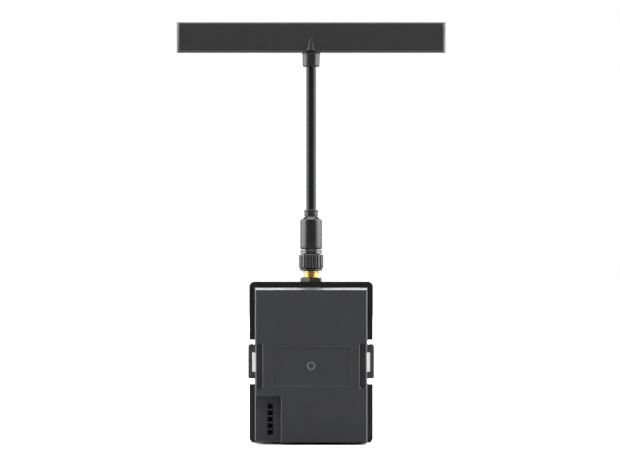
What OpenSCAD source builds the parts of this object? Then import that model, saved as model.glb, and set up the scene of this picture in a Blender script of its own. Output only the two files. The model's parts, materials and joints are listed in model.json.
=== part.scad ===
// Plug-in radio module with a T antenna on a flexible stem.
// The insert slides into a controller's bay along -Y, the cover stays outside, and the antenna stands up.
// The module stands on the cover's lower edge, with the origin under the middle of its bounding box.

/* [Insert] */
// Width of the insert at its rear face
insert_w = 43.4; // [42:0.2:54]
// Height of the insert at its rear face
insert_h = 60; // [58:0.5:74]
// Depth of the insert behind the cover's rim
insert_d = 18; // [17:0.5:22]
// How far each side of the insert spreads between its rear face and the rim
insert_draft = 0.8; // [0.4:0.1:1.1]
// Side walls of the insert
insert_wall = 1.6; // [1.2:0.1:1.9]
// Rear wall of the insert
rear_wall = 1.8; // [1.4:0.1:2.4]
// How far the insert's skirt reaches into the cover
skirt_depth = 2; // [1.5:0.1:3]
// Width of the shallow label recess
label_w = 31; // [24:0.5:34]
// Height of the shallow label recess
label_h = 15.7; // [12:0.1:17]
// Depth of the shallow label recess
label_depth = 0.3; // [0.2:0.05:0.5]
// Outer diameter of the moulding gate ring
gate_d = 3.6; // [2.8:0.1:5]

/* [Cover] */
// Depth of the cover in front of its rim
cover_d = 12.5; // [12.3:0.1:15]
// Front and lower walls of the cover
cover_wall = 1.6; // [1.4:0.1:1.8]
// Width of the rim at each side of the insert
rim_side = 2.05; // [1.85:0.05:2.6]
// Width of the rim above the insert
rim_top = 2.2; // [2:0.1:3]
// Width of the rim below the insert
rim_bottom = 0.2; // [0.1:0.1:0.6]
// Corner radius of the cover
cover_r = 2; // [1:0.1:2.4]
// Width of the groove along the rim's inner edge
groove_w = 0.8; // [0.4:0.1:1]
// Depth of the groove along the rim's inner edge
groove_depth = 0.8; // [0.4:0.1:1.2]

/* [Latches] */
// How deep the latch channel cuts into the insert's side
channel_in = 2.86; // [2.7:0.05:3]
// Height of the latch channel
channel_h = 17.4; // [17:0.1:19]
// Height of the notch for the finger pad in the cover
notch_h = 17.7; // [16:0.1:20]
// How far the notch cuts into the cover's side
notch_in = 4.85; // [4.65:0.05:5.2]
// Height of the finger pad
pad_h = 13.6; // [11:0.1:15]
// How far the finger pad stands out from the cover's side
pad_out = 0.55; // [0.5:0.05:1.5]
// Thickness of the finger pad
pad_t = 1.7; // [1.4:0.1:2]
// Thickness of the latch arm
arm_t = 1.1; // [0.9:0.1:1.3]
// Height of the hook on the latch arm
hook_h = 7.6; // [5:0.1:9]
// How far the hook stands out from the insert's base
hook_out = 0.9; // [0.6:0.1:1.2]
// Thickness of the bay wall that the hook holds
bay_wall = 2.6; // [2:0.1:3.5]
// Diameter of the latch hinge pin
latch_pin_d = 1; // [0.8:0.1:1.2]

/* [Pin socket] */
// Number of contacts
pin_count = 5; // [3:1:5]
// Spacing of the contacts
pin_pitch = 2.54; // [2:0.02:2.7]
// Width of the socket pocket, from the insert's side
pocket_w = 10.1; // [9.6:0.1:12]
// Height of the socket pocket, from the insert's lower edge
pocket_h = 18.2; // [17.4:0.1:19]
// Depth of the socket pocket
pocket_depth = 2.8; // [2:0.1:3.4]
// Distance of the contact row from the insert's side
pin_row_in = 5.6; // [5.2:0.1:6]
// Length of the socket body
socket_len = 8.5; // [7.5:0.1:8.8]

/* [Boards and cooling] */
// Thickness of the main board
board_t = 1.6; // [1:0.1:1.8]
// Side of the square fan frame
fan_w = 25; // [22:0.5:26]
// Thickness of the fan frame
fan_t = 6.6; // [6:0.1:7]
// Number of fan blades
blade_count = 7; // [5:1:9]
// Side of the square heat sink
sink_w = 28; // [26:0.5:30]
// Number of heat sink fins
fin_count = 9; // [5:1:11]
// Diameter of the vent opening in the cover
vent_d = 23; // [20:0.5:24]

/* [Antenna connector] */
// Diameter of the jack's thread
thread_d = 6.35; // [6:0.05:6.6]
// Length of the jack's thread above the cover
thread_len = 8.6; // [8:0.1:9.4]
// Distance of the jack's axis from the seat plane
jack_y = 6.2; // [5.8:0.1:6.6]
// Depth of the round recess for the nut in the cover's top
nut_recess = 0.8; // [0.4:0.1:1]
// Size of the hex nut across its flats
nut_flats = 8; // [7.8:0.1:8.4]
// Height of the hex nut
nut_h = 2; // [1.6:0.1:2.2]
// Thickness of the lock washer
washer_t = 0.5; // [0.4:0.05:0.6]
// Diameter of the knurled coupling nut
coupling_d = 9.7; // [9:0.1:10.5]
// Height of the knurled part of the coupling nut
coupling_h = 5.8; // [5.4:0.1:7]
// Diameter of the coupling nut's lower lip
lip_d = 8.7; // [8.2:0.1:9]
// Height of the coupling nut's lower lip
lip_h = 0.9; // [0.6:0.1:1.2]
// Gap between the hex nut and the coupling nut's lip
thread_gap = 2.6; // [1.5:0.1:3]
// Clearance between turning or sliding pieces
running_fit = 0.05; // [0.03:0.01:0.08]

/* [Antenna] */
// Diameter of the moulded barrel
barrel_d = 8.7; // [7.8:0.1:9.5]
// Height of the straight part of the barrel
barrel_h = 12; // [9:0.1:14]
// Height of the barrel's conical shoulder
shoulder_h = 1.2; // [1:0.1:2.5]
// Diameter of the collar on the barrel
collar_d = 5.6; // [5:0.1:6]
// Height of the collar on the barrel
collar_h = 2.7; // [2:0.1:4]
// Diameter of the flexible stem
stem_d = 3.9; // [3.6:0.1:4]
// Free length of the flexible stem
stem_len = 57; // [45:1:90]
// Largest bend at each of the stem's flexing points
flex_bend = 20; // [10:1:20]
// Upper diameter of the boss under the bar
boss_d = 7.2; // [6.4:0.1:8]
// Height of the boss under the bar
boss_h = 5.7; // [4:0.1:8]
// Width of the T bar
bar_w = 107.3; // [80:0.1:140]
// Height of the T bar
bar_h = 12; // [10:0.1:16]
// Thickness of the T bar
bar_t = 6; // [5.4:0.1:7]
// Wall of the T bar's shells
bar_wall = 1; // [0.8:0.1:1.4]

/* [Hidden] */
$fn = 48;
eps = 0.01;

// Clearances: fixed pieces sit with fit, glued ones with bond, turning ones with running_fit, and moving ones keep gap.
fit = 0.1;
gap = 0.3;
bond = 0.02;

// Insert and cover, with the seat plane at y = 0 before the whole module is centred in depth.
seat_y = (insert_d - cover_d) / 2;
base_w = insert_w + 2 * insert_draft;
base_h = insert_h + 2 * insert_draft;
cover_w = base_w + 2 * rim_side;
cover_h = base_h + rim_top + rim_bottom;
insert_z = rim_bottom + insert_draft;
insert_top = insert_z + insert_h;
mid_z = rim_bottom + base_h / 2;
rear_y = -insert_d;
ceiling_z = cover_h - rim_top;
front_in = cover_d - cover_wall;
cavity_x = insert_w / 2 - insert_wall;
cavity_y = rear_y + rear_wall;

// Latches. Each turns about a pin near the insert's rear face.
latch_fit = 0.25;
pivot_r = 1.1;
channel_rear_x = insert_w / 2 - channel_in;
channel_base_x = channel_rear_x + insert_draft * 0.8;
pivot_x = channel_rear_x + pivot_r + 0.55;
pivot_y = rear_y + 2.4;
channel_z = mid_z - channel_h / 2;
channel_block = 1.9;
channel_wall_x = channel_rear_x - 1.3;
notch_z = (cover_h - notch_h) / 2;
notch_x = cover_w / 2 - notch_in;
notch_wall = 1.2;
pad_x = cover_w / 2 + pad_out;
pad_z = (cover_h - pad_h) / 2 + 0.2;
pad_y0 = 1.4;
pad_y1 = cover_d - 1.9;
arm_x = base_w / 2;
hook_x = base_w / 2 + hook_out;
hook_z = pad_z + pad_h / 2;

// Corner screws join the cover to bosses on the insert.
boss_r = 2.4;
boss_in = 4.7;
corner_x = cover_w / 2 - boss_in;
corner_z0 = 4.4;
corner_z1 = cover_h - corner_z0;
boss_y0 = -3;
boss_y1 = 9;
screw_r = 0.95;
screw_head_r = 1.9;
screw_head_t = 1.2;

// Pin socket
pin_x = -insert_w / 2 + pin_row_in;
pin_mid_z = insert_z + 9;
pocket_x = -insert_w / 2 + pocket_w;
pocket_y = rear_y + pocket_depth;
socket_w = 2.5;
socket_y0 = pocket_y + 1.4;
socket_y1 = socket_y0 + socket_len;
window_w = 2.35;
window_h = pin_pitch - 0.5;
contact_in = 3.2;

// Boards and what they carry, from the rear to the front
board_y0 = socket_y1;
board_y1 = board_y0 + board_t;
board_edge = 0.7;
board_x = cavity_x - board_edge;
board_z0 = insert_z + insert_wall + 0.8;
board_z1 = insert_top - insert_wall - 0.8;
pillar_r = 2;
pillar_screw_r = 0.75;
vent_z = cover_h / 2 + 2;
fan_y1 = front_in - fit;
fan_y0 = fan_y1 - fan_t;
shield_w = 23;
shield_h = 21;
shield_t = 2.4;
pad_film = 0.5;
sink_y0 = board_y1 + shield_t + pad_film;
sink_base = 1.4;
sink_y1 = fan_y0 - fit;
sink_leg = sink_w / 2 - 1.6;
leg_r = 0.6;
hub_r = 5.6;
bearing_r = 1.6;
shaft_r = 0.75;
duct_r = fan_w / 2 - 0.8;
blade_r = duct_r - 0.5;
fan_screw_in = 2.4;
fan_screw_r = 0.6;
fan_head_r = 1.5;
fan_head_t = 0.9;
bearing_len = 4;
guard_t = 0.9;
lug_r = 1.2;

// Interface board, just inside the cover's lower edge
io_y0 = 1.8;
io_t = 1.2;
io_y1 = io_y0 + io_t;
io_x = corner_x - boss_r - 0.4;
io_z0 = insert_z + insert_wall + 0.2;
io_z1 = io_z0 + 13.2;
data_x = 9;
data_w = 9;
data_t = 3.2;
data_len = 7.4;
power_x = -8;
power_w = 10.4;
power_t = 5.4;
power_len = 11.6;
power_pin_x = 2.4;
power_pin_r = 1;
port_fit = 0.15;
port_z = 0.6;
button_x = io_x - 2.7;
button_z = io_z1 - 2.7;
switch_w = 4.6;
switch_t = 3.4;
button_r = 2;
button_travel = 0.4;
lamp_x = 3;
lamp_r = 1.5;
standoff_z = io_z1 - 1.9;
standoff_x = power_x;
standoff_x2 = lamp_x + 3.6;

// Heights on the antenna's axis
nut_z0 = cover_h - nut_recess + washer_t;
nut_z1 = nut_z0 + nut_h;
lip_z = nut_z1 + thread_gap;
knurl_z = lip_z + lip_h;
coupling_top = knurl_z + coupling_h;
thread_top = cover_h + thread_len;
jack_bore_r = 2.35;
insulator_r = 2.05;
contact_r = 0.64;
pin_r = 0.45;
mate_z = thread_top - 3;
jack_flange_h = 2.2;
jack_tail_h = 4;
jack_tail_r = 2.3;
jack_z = ceiling_z - jack_flange_h - jack_tail_h;
lead_z = jack_z - 4.6;
nut_turn = 24;
plug_neck_r = 2.9;
plug_nose_r = jack_bore_r - running_fit;
ring_z = coupling_top - 1;
ring_t = 0.4;
metal_h = 1.8;
metal_r = 4.4;
barrel_z = coupling_top + metal_h + fit;
shoulder_z = barrel_z + barrel_h;
collar_z = shoulder_z + shoulder_h;
stem_z = collar_z + collar_h;
boss_z = stem_z + stem_len;
bar_z = boss_z + boss_h;
stem_r = stem_d / 2;
sleeve_depth = 6.5;

// The stem flexes at four evenly spaced points between five links.
link_count = 5;
link_pitch = stem_len / (link_count - 0.4);
flex_gap = stem_r * tan(flex_bend / 2) + 0.04;
ball_r = 1.2;
function flex_z(i) = stem_z + (i - 0.2) * link_pitch;

// T bar
bar_chamfer = 0.55;
bar_end_chamfer = 1;
dipole_t = 0.8;
spigot_r = stem_r + 0.7;

case_grey = "#434447";
gloss_black = "#1c1f1f";
latch_grey = "#4a4a48";
satin_grey = "#3c3c3c";
stem_black = "#2b2d2d";
gold = "#d0a85c";
nickel = "#b9bab6";
steel = "#8f9193";
board_green = "#1f4a36";
nylon = "#1b1b1d";
alloy = "#9fa2a6";
pad_blue = "#8fa7b5";
bronze = "#a08250";
rotor_black = "#26272a";
guard_black = "#2a2d2e";
brass = "#b08d4c";
power_yellow = "#c9a227";
lamp_cream = "#e8e4d0";
clear_blue = "#d8e2e6";
jacket_black = "#2f2f33";
nut_olive = "#6d6a5c";
plated_black = "#3a3d3a";
barrel_black = "#2a2a2c";

// Places a piece drawn about the seat plane
module placed() translate([0, seat_y, 0]) children();

// Places a piece on the antenna's axis
module on_axis() placed() translate([0, jack_y, 0]) children();

// Extrudes an outline drawn in x and z from y0 to y1
module along_y(y0, y1) translate([0, y1, 0]) rotate([90, 0, 0]) linear_extrude(height = y1 - y0) children();

// Extrudes an outline drawn in x and y from z0 to z1
module along_z(z0, z1) translate([0, 0, z0]) linear_extrude(height = z1 - z0) children();

// Rod along y
module rod_y(x, z, r, y0, y1) translate([x, y1, z]) rotate([90, 0, 0]) cylinder(h = y1 - y0, r = r);

// Block given by its corners
module block(low, high) translate(low) cube(high - low);

// Rectangle with round corners, centred on the origin
module rounded(w, h, r) {
    square([w - 2 * r, h], center = true);
    square([w, h - 2 * r], center = true);
    for (sx = [-1, 1], sy = [-1, 1]) translate([sx * (w / 2 - r), sy * (h / 2 - r)]) circle(r = r);
}

// Tube on the z axis
module tube(z0, z1, outer, inner) {
    difference() {
        translate([0, 0, z0]) cylinder(h = z1 - z0, r = outer);
        translate([0, 0, z0 - eps]) cylinder(h = z1 - z0 + 2 * eps, r = inner);
    }
}

// Rod on the z axis
module rod(z0, z1, r) translate([0, 0, z0]) cylinder(h = z1 - z0, r = r);

// Hexagonal prism on the z axis, given its size across the flats
module hex_rod(z0, z1, flats) translate([0, 0, z0]) cylinder(h = z1 - z0, d = flats / cos(30), $fn = 6);

// Both sides of the module
module both_sides() {
    children();
    mirror([1, 0, 0]) children();
}

// The four corner screw places
module at_corners() for (x = [-corner_x, corner_x], z = [corner_z0, corner_z1]) translate([x, 0, z]) children();

// The four fan screw places, about the fan's axis
module at_fan_corners() {
    reach = fan_w / 2 - fan_screw_in;
    for (x = [-reach, reach], z = [-reach, reach]) translate([x, 0, z]) children();
}

// The three board screw places
module at_pillars() {
    for (p = [[board_x - 5, board_z0 + 5], [board_x - 5, board_z1 - 5], [5 - board_x, board_z1 - 5]])
        translate([p[0], 0, p[1]]) children();
}

// Solid insert, spreading on all four sides toward the seat plane
module insert_block() {
    intersection() {
        along_z(0, cover_h) polygon([
            [-insert_w / 2, rear_y], [insert_w / 2, rear_y], [base_w / 2, 0], [-base_w / 2, 0]
        ]);
        translate([-base_w, 0, 0]) rotate([90, 0, 90]) linear_extrude(height = 2 * base_w) polygon([
            [rear_y, insert_z], [0, rim_bottom], [0, rim_bottom + base_h], [rear_y, insert_top]
        ]);
    }
}

// Skirt that locates the insert in the cover, interrupted where the latches pass
module skirt() {
    z0 = cover_wall + fit;
    z1 = ceiling_z - fit;
    x1 = base_w / 2 - fit;
    difference() {
        block([-x1, -eps, z0], [x1, skirt_depth, z1]);
        both_sides() block(
            [notch_x - notch_wall - gap, 0, notch_z - notch_wall - gap],
            [base_w, 2 * skirt_depth, notch_z + notch_h + notch_wall + gap]
        );
    }
}

// Space inside the insert, kept clear of the latch channels and the socket pocket
module insert_space() {
    difference() {
        block(
            [-cavity_x, cavity_y, insert_z + insert_wall],
            [cavity_x, skirt_depth + eps, insert_top - insert_wall]
        );
        both_sides() block(
            [channel_wall_x, rear_y, channel_z - channel_block],
            [base_w, 0, channel_z + channel_h + channel_block]
        );
        block([-base_w, rear_y, 0], [pocket_x + insert_wall, socket_y0, insert_z + pocket_h + insert_wall]);
    }
}

// Channel for one latch arm, open at the side and the rear
module latch_channel() {
    along_z(channel_z, channel_z + channel_h) polygon([
        [channel_rear_x, rear_y - eps], [channel_base_x, skirt_depth + eps],
        [base_w, skirt_depth + eps], [base_w, rear_y - eps]
    ]);
}

module rear_case() color(case_grey) placed() {
    difference() {
        union() {
            difference() {
                union() {
                    insert_block();
                    skirt();
                }
                insert_space();
            }
            intersection() {
                at_corners() rod_y(0, 0, boss_r, boss_y0, boss_y1);
                block([-base_w / 2 + fit, boss_y0, cover_wall + fit], [base_w / 2 - fit, boss_y1, ceiling_z - fit]);
            }
            at_pillars() rod_y(0, 0, pillar_r, cavity_y - eps, board_y0);
        }
        both_sides() latch_channel();
        both_sides() translate([pivot_x, pivot_y, channel_z - 1.4])
            cylinder(h = channel_h + 2.8, d = latch_pin_d + bond);
        label_recess();
        gate_ring();
        block([-base_w, rear_y - eps, -eps], [pocket_x, pocket_y, insert_z + pocket_h]);
        block([-base_w, rear_y - eps, -eps], [pocket_x, -1.5, insert_z + 0.5]);
        for (i = [0 : pin_count - 1]) socket_window(i);
        at_corners() rod_y(0, 0, screw_r - 0.15, boss_y1 - 6.2, boss_y1 + eps);
        at_pillars() rod_y(0, 0, pillar_screw_r - 0.1, board_y0 - 4, board_y0 + eps);
    }
}

// Shallow recess with sloping sides
module label_recess() {
    y0 = rear_y - eps;
    y1 = rear_y + label_depth;
    half_w = label_w / 2;
    half_h = label_h / 2;
    intersection() {
        along_z(mid_z - label_h, mid_z + label_h) polygon([
            [-half_w, y0], [half_w, y0], [half_w - label_depth, y1], [label_depth - half_w, y1]
        ]);
        translate([-label_w, 0, mid_z]) rotate([90, 0, 90]) linear_extrude(height = 2 * label_w) polygon([
            [y0, -half_h], [y1, label_depth - half_h], [y1, half_h - label_depth], [y0, half_h]
        ]);
    }
}

// Ring with a V-shaped section that the moulding gate left in the recess
module gate_ring() {
    ring_r = gate_d * 3 / 8;
    half = gate_d / 8;
    translate([0, rear_y + label_depth, mid_z]) rotate([90, 0, 0]) rotate_extrude()
        polygon([[ring_r - half, eps], [ring_r, -half], [ring_r + half, eps]]);
}

// Height of one contact of the pin socket
function contact_z(i) = pin_mid_z + (i - (pin_count - 1) / 2) * pin_pitch;

// Window in the pocket's floor for one contact
module socket_window(i) {
    z = contact_z(i);
    block(
        [pin_x - window_w / 2, pocket_y - eps, z - window_h / 2],
        [pin_x + window_w / 2, socket_y0 + eps, z + window_h / 2]
    );
}

module cover_shell() {
    difference() {
        along_y(0, cover_d) translate([0, cover_h / 2]) rounded(cover_w, cover_h, cover_r);
        difference() {
            block([-base_w / 2, -eps, cover_wall], [base_w / 2, front_in, ceiling_z]);
            both_sides() block(
                [notch_x - notch_wall, -1, notch_z - notch_wall],
                [cover_w, cover_d, notch_z + notch_h + notch_wall]
            );
        }
        both_sides() block([notch_x, -1, notch_z], [cover_w, cover_d + 1, notch_z + notch_h]);
    }
}

// Grooves along the rim's inner edge, above and below the latch
module rim_grooves() {
    groove_end = 7;
    x0 = base_w / 2 - eps;
    x1 = base_w / 2 + groove_w;
    both_sides() {
        block([x0, -eps, groove_end], [x1, groove_depth, notch_z - 1.4]);
        block([x0, -eps, notch_z + notch_h + 1.4], [x1, groove_depth, cover_h - groove_end]);
    }
}

// Rows of slots that let warm air out of the cover's front
module front_slots() {
    slot_w = 1.2;
    slot_h = 3.6;
    slot_step = 2.8;
    for (i = [-4 : 4]) translate([i * slot_step, 0, cover_h - 9]) slot_cut(slot_w, slot_h);
}

// Slot with round ends, through the cover's front
module slot_cut(w, h) {
    along_y(front_in - eps, cover_d + eps) {
        square([w, h - w], center = true);
        for (s = [-1, 1]) translate([0, s * (h - w) / 2]) circle(d = w);
    }
}

module front_case() color(gloss_black) placed() {
    difference() {
        union() {
            cover_shell();
            intersection() {
                at_corners() rod_y(0, 0, boss_r, boss_y1 + fit, front_in + eps);
                block([-base_w / 2 - eps, 0, 1], [base_w / 2 + eps, cover_d, cover_h - 1]);
            }
        }
        rim_grooves();
        front_slots();
        at_corners() {
            rod_y(0, 0, screw_r + fit, boss_y1, cover_d);
            rod_y(0, 0, screw_head_r + fit, cover_d - screw_head_t, cover_d + eps);
        }
        translate([0, jack_y, ceiling_z - 1]) cylinder(h = rim_top + 2, d = thread_d + 2 * fit);
        translate([0, jack_y, cover_h - nut_recess]) cylinder(h = nut_recess + 1, d = nut_flats / cos(30) + 1.4);
        rod_y(0, vent_z, vent_d / 2, front_in - 1, cover_d + 1);
        rod_y(0, vent_z, vent_d / 2 + lug_r, cover_d - guard_t, cover_d + 1);
        rod_y(button_x, button_z, button_r + running_fit, front_in - 1, cover_d + 1);
        rod_y(lamp_x, button_z, lamp_r + fit, front_in - 1, cover_d + 1);
        port_hole(data_x, io_y1 + data_t / 2, data_w, data_t, data_t / 2 - eps);
        port_hole(power_x, io_y1 + power_t / 2, power_w, power_t, 0.6);
    }
}

// Hole in the cover's lower wall for a receptacle
module port_hole(x, y, w, t, r) {
    along_z(-1, cover_wall + 1) translate([x, y]) rounded(w + 2 * port_fit, t + 2 * port_fit, r + port_fit);
}

// One latch on the right: a hinge knuckle, an arm with a hook, and a finger pad
module latch() {
    arm_z0 = channel_z + latch_fit;
    arm_z1 = channel_z + channel_h - latch_fit;
    hook_y = -bay_wall;
    root_y = rear_y + 5.5;
    pad_z1 = pad_z + pad_h;
    difference() {
        union() {
            translate([pivot_x, pivot_y, arm_z0]) cylinder(h = arm_z1 - arm_z0, r = pivot_r);
            block([pivot_x - pivot_r, pivot_y - pivot_r, arm_z0], [pivot_x + pivot_r, pivot_y, arm_z1]);
            along_z(arm_z0, arm_z1) polygon([
                [pivot_x - pivot_r * 0.6, pivot_y], [arm_x - arm_t, 0], [arm_x - arm_t, pad_y0],
                [arm_x, pad_y0], [arm_x, 0], [pivot_x + pivot_r, pivot_y]
            ]);
            along_z(hook_z - hook_h / 2, hook_z + hook_h / 2) polygon([
                [pivot_x + 0.5, root_y], [arm_x - 0.5, hook_y], [hook_x, hook_y], [hook_x, hook_y - 0.6]
            ]);
            along_z(pad_z, pad_z1) polygon([
                [arm_x - arm_t, pad_y0 - eps], [pad_x, pad_y0 - eps], [pad_x, pad_y1],
                [pad_x - pad_t, pad_y1], [pad_x - pad_t, pad_y0 + 1.6], [arm_x - arm_t, pad_y0 + 1.6]
            ]);
        }
        translate([pivot_x, pivot_y, channel_z - 1]) cylinder(h = channel_h + 2, d = latch_pin_d + 2 * running_fit);
        block([arm_x - arm_t - 1, -0.3, arm_z0 - 1], [pad_x + 1, pad_y1 + 1, pad_z]);
        block([arm_x - arm_t - 1, -0.3, pad_z1], [pad_x + 1, pad_y1 + 1, arm_z1 + 1]);
    }
}

module latch_right() color(latch_grey) placed() latch();

module latch_left() color(latch_grey) placed() mirror([1, 0, 0]) latch();

module latch_pins() color(steel) placed() {
    both_sides() translate([pivot_x, pivot_y, channel_z - 1.3]) cylinder(h = channel_h + 2.6, d = latch_pin_d);
}

// Screw along y with a flush head and a hex socket
module screw_y(r, head_r, head_t, y0, y1) {
    difference() {
        union() {
            rod_y(0, 0, r, y0, y1 - head_t + eps);
            rod_y(0, 0, head_r, y1 - head_t, y1);
        }
        translate([0, y1 + eps, 0]) rotate([90, 0, 0]) cylinder(h = head_t * 0.7, r = head_r * 0.5, $fn = 6);
    }
}

module case_screws() color(steel) placed() {
    at_corners() screw_y(screw_r - 0.16, screw_head_r, screw_head_t, boss_y1 - 6, cover_d);
}

module pin_socket() color(nylon) placed() {
    half = pin_count * pin_pitch / 2;
    difference() {
        block([pin_x - socket_w / 2, socket_y0, pin_mid_z - half], [pin_x + socket_w / 2, socket_y1, pin_mid_z + half]);
        for (i = [0 : pin_count - 1]) translate([pin_x, 0, contact_z(i)]) {
            block([-0.8, socket_y0 - 1, -0.8], [0.8, socket_y0 + 0.8, 0.8]);
            block([-0.6, socket_y0, -0.6], [0.6, socket_y1 + 1, 0.6]);
        }
    }
}

// Each contact is a folded spring clip that ends in a tail through the board.
module socket_contacts() color(gold) placed() {
    clip_half = 0.4;
    leaf_t = 0.2;
    for (i = [0 : pin_count - 1]) translate([pin_x, 0, contact_z(i)]) {
        for (z = [-0.42, 0.42]) block(
            [-clip_half, socket_y0 + contact_in, z - leaf_t / 2],
            [clip_half, socket_y1 - 1.2, z + leaf_t / 2]
        );
        block([-clip_half, socket_y1 - 1.3, -0.52], [clip_half, socket_y1 - 0.8, 0.52]);
        block([-0.25, socket_y1 - 0.9, -0.15], [0.25, board_y1 + 0.8, 0.15]);
    }
}

module main_board() color(board_green) placed() {
    difference() {
        block([-board_x, board_y0, board_z0], [board_x, board_y1, board_z1]);
        both_sides() block(
            [channel_wall_x - 0.4, board_y0 - 1, channel_z - channel_block - 0.6],
            [base_w, board_y1 + 1, channel_z + channel_h + channel_block + 0.6]
        );
        at_pillars() rod_y(0, 0, pillar_screw_r + fit, board_y0 - 1, board_y1 + 1);
        for (i = [0 : pin_count - 1]) rod_y(pin_x, contact_z(i), 0.4, board_y0 - 1, board_y1 + 1);
        for (x = [-sink_leg, sink_leg], z = [-sink_leg, sink_leg])
            rod_y(x, vent_z + z, leg_r + fit, board_y0 - 1, board_y1 + 1);
    }
}

module board_screws() color(steel) placed() {
    at_pillars() screw_y(pillar_screw_r - 0.11, 1.4, 0.9, board_y0 - 3.8, board_y1 + 0.9);
}

module shield_can() color(nickel) placed() translate([0, 0, vent_z]) {
    shell = 0.25;
    difference() {
        block([-shield_w / 2, board_y1, -shield_h / 2], [shield_w / 2, board_y1 + shield_t, shield_h / 2]);
        block(
            [shell - shield_w / 2, board_y1 - eps, shell - shield_h / 2],
            [shield_w / 2 - shell, board_y1 + shield_t - shell, shield_h / 2 - shell]
        );
    }
}

module thermal_pad() color(pad_blue) placed() {
    edge = 1;
    y0 = board_y1 + shield_t;
    translate([0, 0, vent_z])
        block([edge - shield_w / 2, y0, edge - shield_h / 2], [shield_w / 2 - edge, y0 + pad_film, shield_h / 2 - edge]);
}

module heat_sink() color(alloy) placed() translate([0, 0, vent_z]) {
    fin_t = 1;
    fin_step = (sink_w - fin_t) / (fin_count - 1);
    difference() {
        union() {
            block([-sink_w / 2, sink_y0, -sink_w / 2], [sink_w / 2, sink_y0 + sink_base, sink_w / 2]);
            for (i = [0 : fin_count - 1]) translate([i * fin_step - sink_w / 2, 0, 0])
                block([0, sink_y0, -sink_w / 2], [fin_t, sink_y1, sink_w / 2]);
            for (x = [-sink_leg, sink_leg], z = [-sink_leg, sink_leg]) {
                rod_y(x, z, 2 * leg_r, board_y1, sink_y0 + eps);
                rod_y(x, z, leg_r, board_y0, board_y1 + eps);
            }
        }
        at_fan_corners() {
            rod_y(0, 0, 1.3, sink_y0 + sink_base, sink_y1 + 1);
            rod_y(0, 0, fan_screw_r, sink_y0 - eps, sink_y1);
        }
    }
}

module fan_frame() color(nylon) placed() translate([0, 0, vent_z]) {
    strut_y = fan_y0 + 1;
    difference() {
        union() {
            difference() {
                along_y(fan_y0, fan_y1) rounded(fan_w, fan_w, 2);
                rod_y(0, 0, duct_r, fan_y0 - 1, fan_y1 + 1);
            }
            rod_y(0, 0, hub_r, fan_y0, strut_y);
            for (a = [45 : 90 : 315]) rotate([0, a, 0]) block([hub_r - 0.5, fan_y0, -0.6], [duct_r + 0.4, strut_y, 0.6]);
            rod_y(0, 0, bearing_r + 0.8, fan_y0, fan_y0 + bearing_len);
        }
        rod_y(0, 0, bearing_r + eps, fan_y0 + 0.6, fan_y1);
        at_fan_corners() {
            rod_y(0, 0, fan_screw_r + gap, fan_y0 - 1, fan_y1 + 1);
            rod_y(0, 0, fan_head_r + 0.2, fan_y1 - fan_head_t - 0.2, fan_y1 + 1);
        }
    }
}

module fan_bearing() color(bronze) placed() {
    difference() {
        rod_y(0, vent_z, bearing_r, fan_y0 + 0.6, fan_y0 + bearing_len);
        rod_y(0, vent_z, shaft_r + running_fit, fan_y0, fan_y1);
    }
}

module fan_shaft() color(steel) placed() rod_y(0, vent_z, shaft_r, fan_y0 + 0.8, fan_y1 - 1);

// Fan rotor: a cup over the bearing with slanted blades
module fan_rotor() color(rotor_black) placed() translate([0, 0, vent_z]) {
    y0 = fan_y0 + 1.3;
    y1 = fan_y1 - 0.5;
    difference() {
        union() {
            rod_y(0, 0, hub_r, y0, y1);
            for (i = [0 : blade_count - 1]) rotate([0, i * 360 / blade_count, 0]) blade(y0 + 0.3, y1 - 0.3);
        }
        rod_y(0, 0, hub_r - 0.8, y0 - 1, y1 - 0.9);
        rod_y(0, 0, shaft_r, y0 - 1, y1 - 0.5);
    }
    difference() {
        rod_y(0, 0, shaft_r + 0.7, fan_y0 + bearing_len + 0.2, y1 - 0.85);
        rod_y(0, 0, shaft_r, y0, y1 - 0.5);
    }
}

// One slanted fan blade, cut to the rotor's outer radius
module blade(y0, y1) {
    mid_y = (y0 + y1) / 2;
    half = (y1 - y0) / 2;
    intersection() {
        difference() {
            rod_y(0, 0, blade_r, y0, y1);
            rod_y(0, 0, hub_r - 0.3, y0 - 1, y1 + 1);
        }
        translate([0, mid_y, 0]) rotate([38, 0, 0]) block([hub_r - 0.4, -2 * half, -0.35], [blade_r + 1, 2 * half, 0.35]);
    }
}

module fan_screws() color(steel) placed() translate([0, 0, vent_z]) {
    at_fan_corners() screw_y(fan_screw_r, fan_head_r, fan_head_t, sink_y0 + 0.2, fan_y1 - 0.2);
}

// Round vent guard with curved slots, set flush in the cover
module vent_guard() color(guard_black) placed() translate([0, 0, vent_z]) {
    y0 = cover_d - guard_t + fit / 2;
    ring_w = 1.15;
    ring_step = 2.4;
    spoke_half = 0.6;
    difference() {
        rod_y(0, 0, vent_d / 2 + lug_r - fit, y0, cover_d);
        for (k = [0 : 3]) difference() {
            rod_y(0, 0, vent_d / 2 - spoke_half - k * ring_step, y0 - 1, cover_d + 1);
            rod_y(0, 0, vent_d / 2 - spoke_half - k * ring_step - ring_w, y0 - 2, cover_d + 2);
            for (a = [30 : 60 : 150]) rotate([0, a, 0])
                block([-fan_w, y0 - 2, -spoke_half], [fan_w, cover_d + 2, spoke_half]);
        }
    }
}

module io_board() color(board_green) placed() {
    difference() {
        block([-io_x, io_y0, io_z0], [io_x, io_y1, io_z1]);
        for (x = [standoff_x, standoff_x2]) rod_y(x, standoff_z, 0.8, io_y0 - 1, io_y1 + 1);
    }
}

module board_header() color(nylon) placed() {
    x0 = -1.5;
    block([x0 - 3, board_y1, io_z0 + 2], [x0 + 3, io_y0, io_z0 + 5]);
}

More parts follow.
